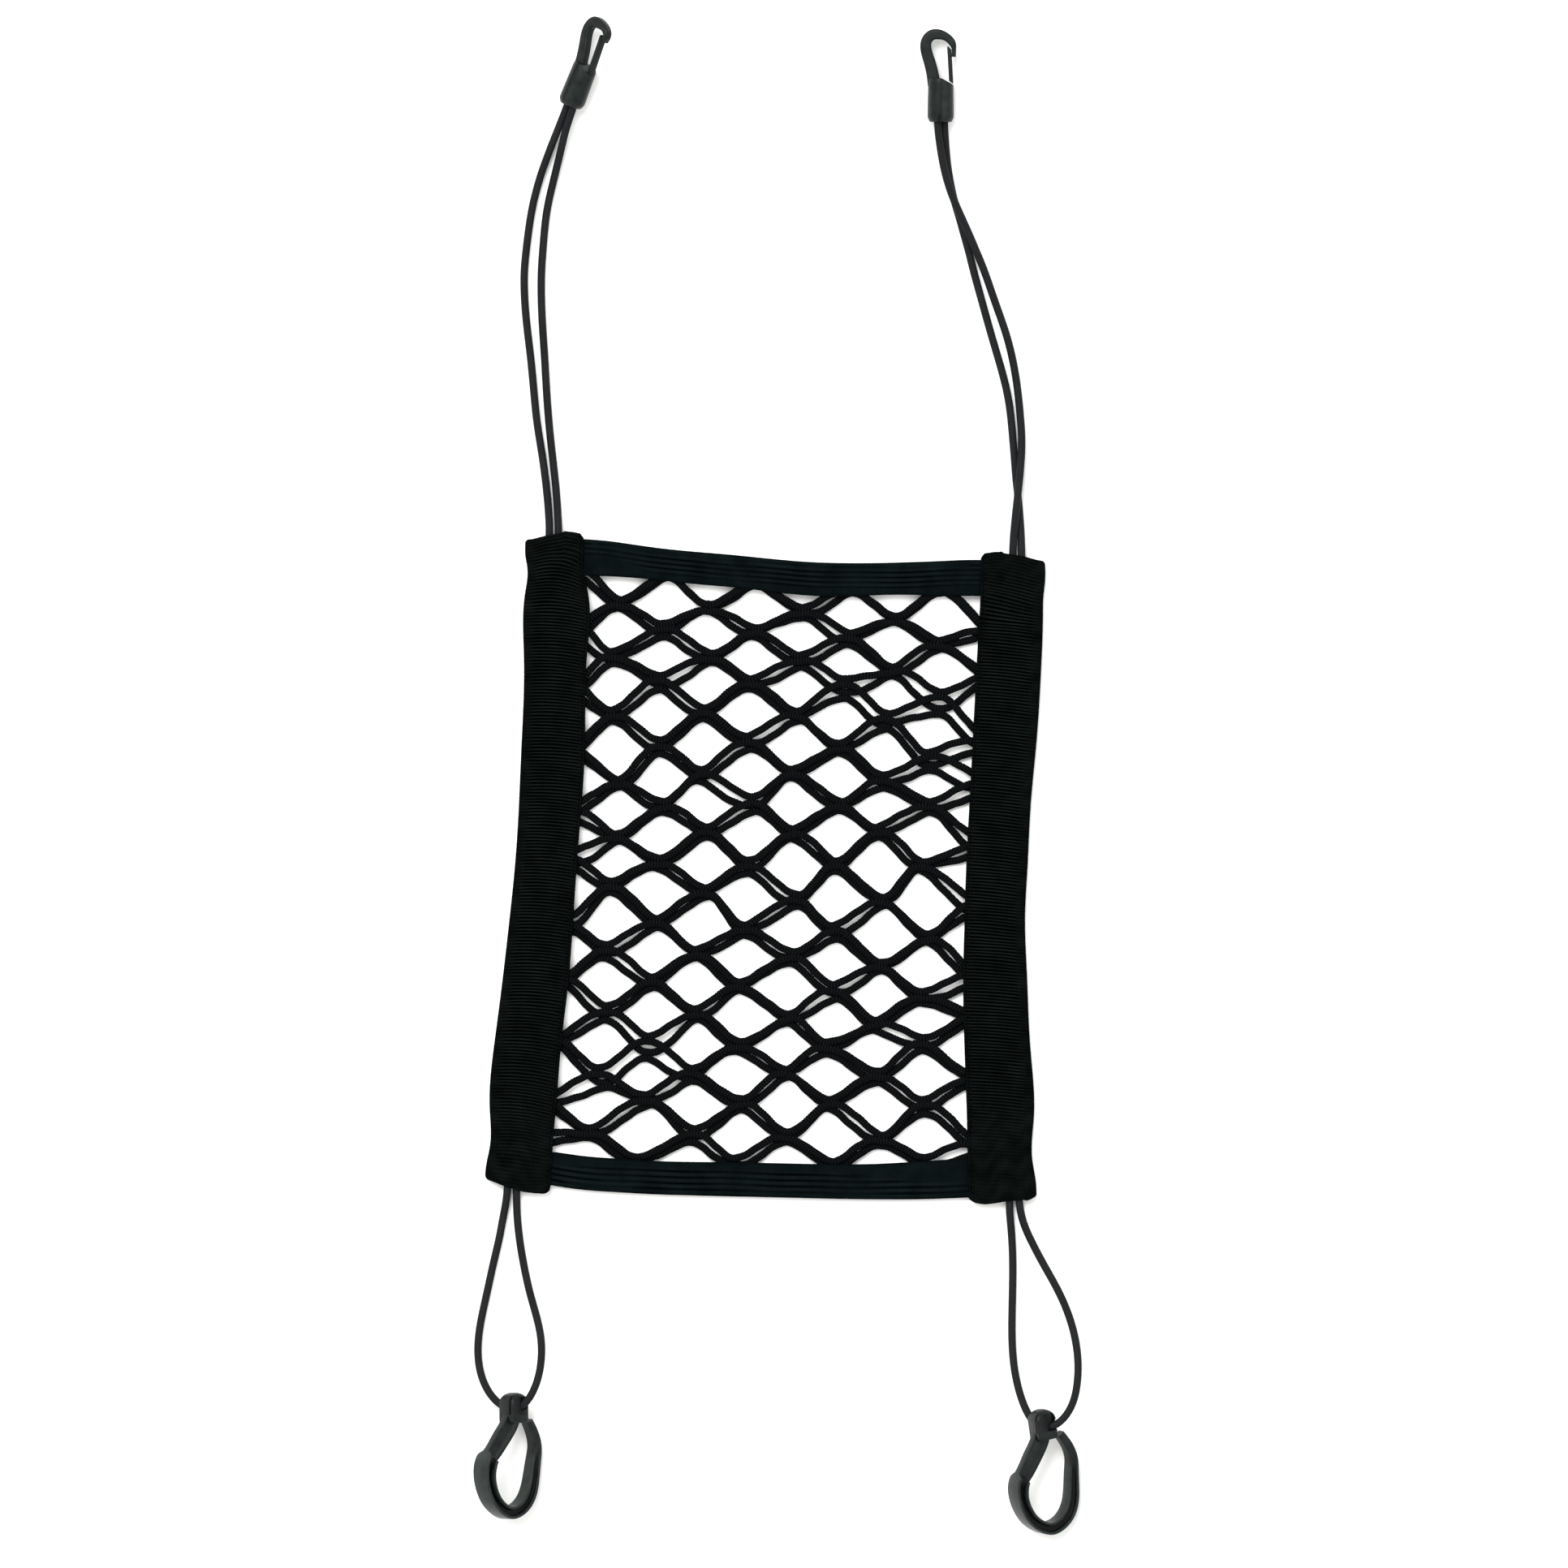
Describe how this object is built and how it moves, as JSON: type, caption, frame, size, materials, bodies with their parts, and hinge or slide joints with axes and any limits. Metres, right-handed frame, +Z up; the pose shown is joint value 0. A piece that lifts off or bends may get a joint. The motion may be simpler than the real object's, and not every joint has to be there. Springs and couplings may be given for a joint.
{
  "type": "pet car barrier net",
  "caption": "Flat elastic net panel with bound edges and side sleeves; elastic cords carry snap hooks above and open hooks below.",
  "frame": {"origin": "centre of the net panel's own box (sleeves, bindings and net) in plan, on the surface it lies on", "axes": "+X to the right, +Y up the panel towards the snap hooks, +Z up from the surface"},
  "size_m": [0.2552, 0.6369, 0.0256],
  "materials": {
    "sleeve_elastic": "black ribbed woven elastic, matt",
    "binding_elastic": "black elastic binding with lengthwise ribs, matt",
    "net_yarn": "black knitted elastic yarn, matt",
    "cord_elastic": "dark grey round elastic cord, slightly glossy",
    "hook_plastic": "black moulded plastic, satin"
  },
  "bodies": {
    "panel": {"sleeve_left": "sleeve_elastic", "sleeve_right": "sleeve_elastic", "binding_top": "binding_elastic", "binding_bottom": "binding_elastic", "net_back": "net_yarn", "net_front": "net_yarn", "cord_upper_left_a": "cord_elastic", "cord_upper_left_b": "cord_elastic", "cord_upper_right_a": "cord_elastic", "cord_upper_right_b": "cord_elastic", "cord_lower_left": "cord_elastic", "cord_lower_right": "cord_elastic", "snap_hook_left": "hook_plastic", "snap_hook_right": "hook_plastic", "open_hook_left": "hook_plastic", "open_hook_right": "hook_plastic"},
    "gate_left": {"gate_left": "hook_plastic"},
    "gate_right": {"gate_right": "hook_plastic"}
  },
  "joints": [
    {"name": "gate_left_hinge", "type": "hinge", "parent": "panel", "child": "gate_left", "pos_m": [-0.07276, 0.33369, 0.01118], "axis": [-0.6966, 0.1269, 0.7061], "range_deg": [0, 16], "stiffness_Nm_per_rad": 0.1, "springref_deg": -1.72},
    {"name": "gate_right_hinge", "type": "hinge", "parent": "panel", "child": "gate_right", "pos_m": [0.07835, 0.32967, 0.00602], "axis": [-0.0698, -0.0082, 0.9975], "range_deg": [0, 16], "stiffness_Nm_per_rad": 0.1, "springref_deg": -1.72}
  ]
}
